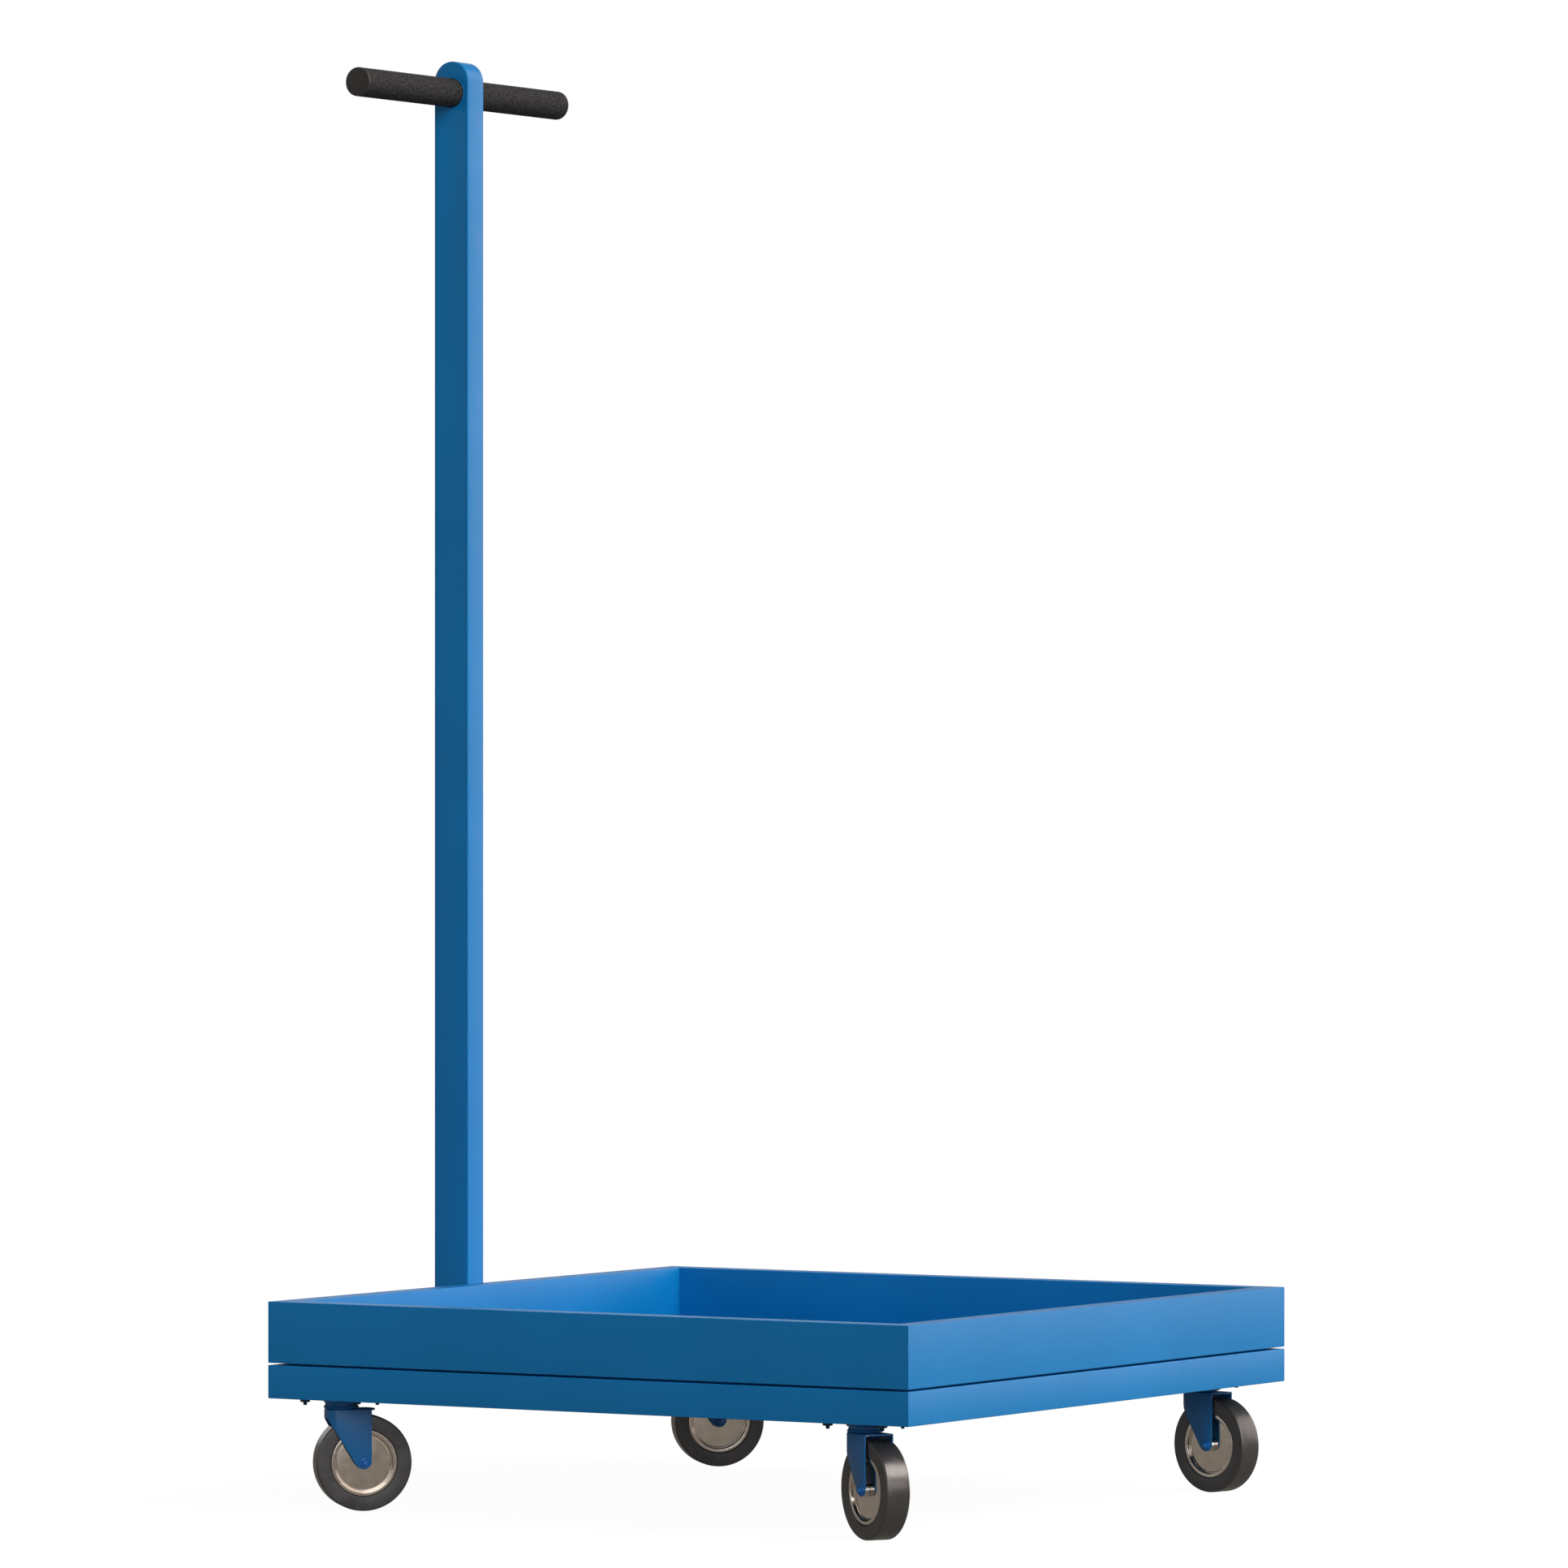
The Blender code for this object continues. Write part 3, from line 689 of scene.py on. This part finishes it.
def fork_sheet(name, place):
    """The bent sheet: two legs and a nose, rounded over into the crown, whose rear edge is bowed."""
    bm = bmesh.new()
    outer = fork_outline(0)
    rows = [[bm.verts.new((x, y, leg_bottom(x))) for x, y in outer]]
    for k in range(BEND_STEPS + 1):
        turn = math.pi / 2 * k / BEND_STEPS
        level = FORK_TOP - FORK_BEND * (1 - math.sin(turn))
        ring = fork_outline(FORK_BEND * (1 - math.cos(turn)))
        rows.append([bm.verts.new((x, y, level)) for x, y in ring])
    for lower, upper in zip(rows, rows[1:]):
        for k in range(len(lower) - 1):
            bm.faces.new((lower[k], lower[k + 1], upper[k + 1], upper[k]))
    crown = rows[-1]
    count = len(crown)
    for k in range(count // 2 - 1):
        bm.faces.new((crown[k], crown[k + 1], crown[count - 2 - k], crown[count - 1 - k]))
    wide = FORK_HALF - FORK_BEND
    bow = []
    for k in range(1, BOW_STEPS):
        share = -1 + 2 * k / BOW_STEPS
        bow.append(bm.verts.new((LEG_BACK + CROWN_BULGE * (1 - share * share), share * wide, FORK_TOP)))
    bm.faces.new([crown[0], *bow, crown[-1]])
    made = finish_mesh(name, bm, place, LOOKS["caster_blue"])
    if made.data.polygons[-1].normal.z < 0:
        made.data.flip_normals()
    change = made.modifiers.new("sheet", "SOLIDIFY")
    change.thickness = FORK_SHEET
    change.offset = -1
    change.use_even_offset = True
    return bored(bevelled(made, FORK_EDGE), place)


def bored(obj, place):
    """Cuts the kingpin's round hole through the fork's crown."""
    radius = PIN_BORE * MM
    low, high = FORK_TOP - 3 * FORK_SHEET, FORK_TOP + 3 * FORK_SHEET
    profile = [(0, low), (radius, low), (radius, high), (0, high)]
    cutter = turned("bore_cutter", profile, STEPS["bore"], place, LOOKS["caster_blue"])
    change = obj.modifiers.new("bore", "BOOLEAN")
    change.operation = "DIFFERENCE"
    change.object = cutter
    settle(obj)
    bpy.data.objects.remove(cutter)
    return obj


def fork(name, place):
    """The fork and the race on its crown."""
    body = "swivel_" + name
    stand_for(fork_sheet("fork_sheet_" + name, place), body, "caster_blue", "fork_" + name)
    race = eased(in_metres(RACE, FORK_TOP))
    made = turned("swivel_race_" + name, race, STEPS["race"], place, LOOKS["caster_blue"])
    stand_for(made, body, "caster_blue")


def axle(name, hub):
    """The axle with its flanged knob, and the nut on its far end."""
    body = "swivel_" + name
    face = FORK_HALF + AXLE_GAP
    bm = bmesh.new()
    add_turned(bm, eased(in_metres(AXLE_HEAD, face)), STEPS["axle_head"])
    tail, root = -face - AXLE_TAIL, -face + AXLE_ROOT
    corners = [(0, tail, 0), (AXLE_RADIUS, tail, AXLE_TIP), (AXLE_RADIUS, root, 0), (0, root, 0)]
    shank = eased(corners, steps=3)
    add_turned(bm, shank, STEPS["axle_tail"])
    made = finish_mesh("axle_bolt_" + name, bm, hub, LOOKS["axle_blue"], sharp=40)
    stand_for(made, body, "blue_paint", "axle_" + name)

    bm = bmesh.new()
    hex_head(bm, AXLE_NUT_HEX, face + AXLE_NUT_HEIGHT, UPRIGHT)
    for vert in bm.verts:
        vert.co.z = max(vert.co.z, face)
    far_side = hub @ Matrix.Rotation(math.pi, 4, "X")
    nut = finish_mesh("axle_lock_nut_" + name, bm, far_side, LOOKS["axle_blue"], sharp=20)
    stand_for(nut, body, "blue_paint", "axle_nut_" + name)


def spacers(name, hub):
    """Three stacked rings on each side, between the wheel's disc and the fork's leg."""
    start = DISC_FACE + SPACER_GAP
    stop = FORK_HALF - FORK_SHEET
    third = (stop - start) / 3
    round_off = third * SPACER_ROUND
    corners = [(SPACER_BORE, start, 0)]
    for k in range(3):
        low, high = start + third * k, start + third * (k + 1)
        corners += [(SPACER_WAIST, low + NOTCH_FOOT, 0), (SPACER_RADIUS, low + NOTCH_TOP, round_off),
                    (SPACER_RADIUS, high - NOTCH_TOP, round_off), (SPACER_WAIST, high - NOTCH_FOOT, 0)]
    corners.append((SPACER_BORE, stop, 0))
    for side, sign in (("right", 1), ("left", -1)):
        rings = [(radius, sign * height) for radius, height in eased(corners)]
        made = turned("spacer_rings_" + side + "_" + name, rings, STEPS["spacer"], hub, LOOKS["zinc"])
        stand_for(made, "swivel_" + name, "zinc", "spacer_" + side + "_" + name)


def wheel(name, hub, radius):
    """The polished disc with its stepped rim, and the tyre with crisp shoulders."""
    body = "wheel_" + name
    disc = eased(mirrored(in_metres(DISC_SIDE)), steps=5)
    made = turned("polished_disc_" + name, disc, STEPS["disc"], hub, LOOKS["wheel_disc"], sharp=50)
    stand_for(made, body, "wheel_disc", "wheel_disc_" + name)

    seat = DISC_RADIUS + TYRE_GAP
    side = [(seat, TYRE_HALF - BEAD_INSET, 0),
            (seat + BEAD_HEIGHT, TYRE_HALF - TYRE_CREASE, BEAD_EDGE),
            (radius - TYRE_EDGE, TYRE_HALF, TYRE_EDGE),
            (radius - TYRE_CREASE, TYRE_HALF - TYRE_SHOULDER, TYRE_EDGE)]
    tread = [(radius, TYRE_HALF / 2, 0), (radius, 0, 0)]
    tyre = eased(mirrored(side + tread, skip=1), steps=5)
    made = turned("rubber_tyre_" + name, tyre, STEPS["tyre"], hub, LOOKS["tyre"], sharp=50)
    stand_for(made, body, "tyre", "tyre_" + name)


def threaded_end(bm, bottom, top, place):
    """A stud's end: a chamfered tip and thread ridges up to the nut."""
    root = STUD_RADIUS - THREAD_DEPTH
    first = bottom + STUD_TIP
    profile = [(0, bottom), (STUD_RADIUS - STUD_CHAMFER, bottom)]
    for k in range(int((top - first) / THREAD_PITCH)):
        low = first + k * THREAD_PITCH
        profile += [(root, low), (STUD_RADIUS, low + THREAD_PITCH / 2)]
    profile += [(root, top), (0, top)]
    add_turned(bm, profile, STEPS["stud"], place)


def mount(name, centre):
    """The caster's plate with its cup, the nuts, the studs and the corner plate they stand in."""
    low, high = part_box("caster_plate_" + name)
    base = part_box("base_rail_right")[0].z
    outline = rectangle(low.x, low.y, high.x, high.y, PLATE_CORNER, steps=8)
    plate = prism("mounting_plate_" + name, outline, base, high.z, LOOKS["blue_paint"])
    stand_for(bevelled(plate, PLATE_EDGE), "platform", "blue_paint", "caster_plate_" + name)

    at = Matrix.Translation((*centre, 0))
    cup = eased(in_metres(CUP_TOP, base) + in_metres(CUP_FOOT, low.z))
    made = turned("swivel_cup_" + name, cup, STEPS["race"], at, LOOKS["caster_blue"])
    stand_for(made, "platform", "caster_blue")

    gusset_low, gusset_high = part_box("corner_plate_" + name)
    studs_and_nuts(name, centre, gusset_low.z, base)
    outline = rectangle(gusset_low.x, gusset_low.y, gusset_high.x, gusset_high.y, GUSSET_CORNER, steps=4)
    gusset = prism("corner_gusset_" + name, outline, high.z + PLATE_GAP, gusset_high.z,
                   LOOKS["blue_paint"])
    stand_for(bevelled(gusset, PLATE_EDGE), "platform", "blue_paint", "corner_plate_" + name)


def studs_and_nuts(name, centre, tip, base):
    """Four nuts that hang from the base's underside, each on a stud's threaded end."""
    nuts, studs = bmesh.new(), bmesh.new()
    upside_down = Matrix.Rotation(math.pi, 4, "X")
    for sx in (-0.5, 0.5):
        for sy in (-0.5, 0.5):
            x, y = centre[0] + sx * STUD_SPAN[0], centre[1] + sy * STUD_SPAN[1]
            hang = Matrix.Translation((x, y, base)) @ upside_down
            hex_head(nuts, NUT_HEX, NUT_HEIGHT, hang, NUT_WASHER)
            top = base - NUT_HEIGHT + STUD_IN_NUT
            threaded_end(studs, tip, top, Matrix.Translation((x, y, 0)))
    for piece, bm in (("mounting_nuts_", nuts), ("stud_ends_", studs)):
        # the nuts and stud ends take the darker nut paint: painted shade for their place under the base
        made = finish_mesh(piece + name, bm, UPRIGHT, LOOKS["nut_blue"], sharp=20)
        stand_for(made, "platform", "blue_paint")


def casters():
    """The four casters, each turned the way its wheel trails at rest."""
    joints = {joint["name"]: joint for joint in frame["joints"]}
    for name in CASTERS:
        swivel = Vector(joints["swivel_joint_" + name]["pos_m"])
        spin = Vector(joints["wheel_spin_" + name]["pos_m"])
        trail = Matrix.Rotation(math.atan2(spin.y - swivel.y, spin.x - swivel.x), 4, "Z")
        place = Matrix.Translation((swivel.x, swivel.y, 0)) @ trail
        hub = Matrix.Translation(spin) @ trail @ Matrix.Rotation(math.pi / 2, 4, "X")
        low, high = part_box("tyre_" + name)
        mount(name, (swivel.x, swivel.y))
        fork(name, place)
        axle(name, hub)
        spacers(name, hub)
        wheel(name, hub, (high.z - low.z) / 2)


def carried_over():
    """Materials for the CAD nodes that are shown as they are."""
    slots = {row["node"]: row["material_slot"] for row in frame["record"]["subparts"]}
    for name, obj in frame["nodes"].items():
        obj.data.materials.clear()
        obj.data.materials.append(LOOKS[slots[name]])


# ---------------------------------------------------------------- studio

def soft_box(name, bearing, rise, width, strength, tint):
    """A round far light, aimed at the trolley; LIGHTS says what its values are."""
    data = bpy.data.lights.new(name, "SUN")
    data.energy = math.pi * strength
    data.color = tint
    data.angle = math.radians(width)
    made = bpy.data.objects.new(name, data)
    made.rotation_euler = (math.radians(90 - rise), 0, math.radians(90 + bearing))
    bpy.context.scene.collection.objects.link(made)


def by_ray(tree, ray, otherwise, seen):
    """The second shader for rays of this kind, the first for all others."""
    path = node(tree, "ShaderNodeLightPath")
    either = node(tree, "ShaderNodeMixShader")
    tree.links.new(path.outputs[ray], either.inputs["Fac"])
    tree.links.new(otherwise, either.inputs[1])
    tree.links.new(seen, either.inputs[2])
    return either.outputs["Shader"]


def background(tree, colour):
    """A world of one even colour."""
    made = node(tree, "ShaderNodeBackground")
    made.inputs["Color"].default_value = colour
    return made.outputs["Background"]


def studio():
    """A room that is white to the eye, dim and warm as light, and even in reflections, and its lights."""
    world = bpy.data.worlds.new("studio")
    bpy.context.scene.world = world
    world.use_nodes = True
    tree = world.node_tree
    tree.nodes.clear()
    unseen = by_ray(tree, "Is Glossy Ray", background(tree, AMBIENT), background(tree, REFLECTED))
    room = by_ray(tree, "Is Camera Ray", unseen, background(tree, BACKDROP))
    out = node(tree, "ShaderNodeOutputWorld")
    tree.links.new(room, out.inputs["Surface"])
    for name, aim in LIGHTS.items():
        soft_box(name, *aim)


def floor():
    """A plain floor: near white with a faint shadow to the eye, warm grey in bounces and reflections."""
    bpy.ops.mesh.primitive_plane_add(size=FLOOR_SIZE, location=(0, 0, 0))
    made = bpy.context.active_object
    made.name = "studio_floor"
    look = bpy.data.materials.new("pale_floor")
    look.use_nodes = True
    tree = look.node_tree
    tree.nodes.clear()
    bounce = node(tree, "ShaderNodeBsdfDiffuse")
    bounce.inputs["Color"].default_value = FLOOR_BOUNCE
    shadow = node(tree, "ShaderNodeBsdfDiffuse")
    shadow.inputs["Color"].default_value = FLOOR_SHADE
    glow = node(tree, "ShaderNodeEmission")
    glow.inputs["Strength"].default_value = FLOOR_GLOW
    seen = node(tree, "ShaderNodeAddShader")
    tree.links.new(shadow.outputs["BSDF"], seen.inputs[0])
    tree.links.new(glow.outputs["Emission"], seen.inputs[1])
    reflection = node(tree, "ShaderNodeEmission")
    reflection.inputs["Color"].default_value = REFLECTED
    unseen = by_ray(tree, "Is Glossy Ray", bounce.outputs["BSDF"], reflection.outputs["Emission"])
    out = node(tree, "ShaderNodeOutputMaterial")
    surface = by_ray(tree, "Is Camera Ray", unseen, seen.outputs["Shader"])
    tree.links.new(surface, out.inputs["Surface"])
    made.data.materials.append(look)


def camera():
    """The photo's view, through a long lens."""
    data = bpy.data.cameras.new("camera")
    data.lens = LENS
    data.sensor_width = SENSOR
    data.clip_end = FARTHEST
    made = bpy.data.objects.new("camera", data)
    made.location = CAMERA_AT
    made.rotation_euler = (math.pi / 2, 0, CAMERA_TURN)
    bpy.context.scene.collection.objects.link(made)
    bpy.context.scene.camera = made
    bpy.context.scene.view_settings.view_transform = "Standard"


camera()
rails()
floor_sheet()
post()
post_bolts()
handle()
casters()
carried_over()
studio()
floor()
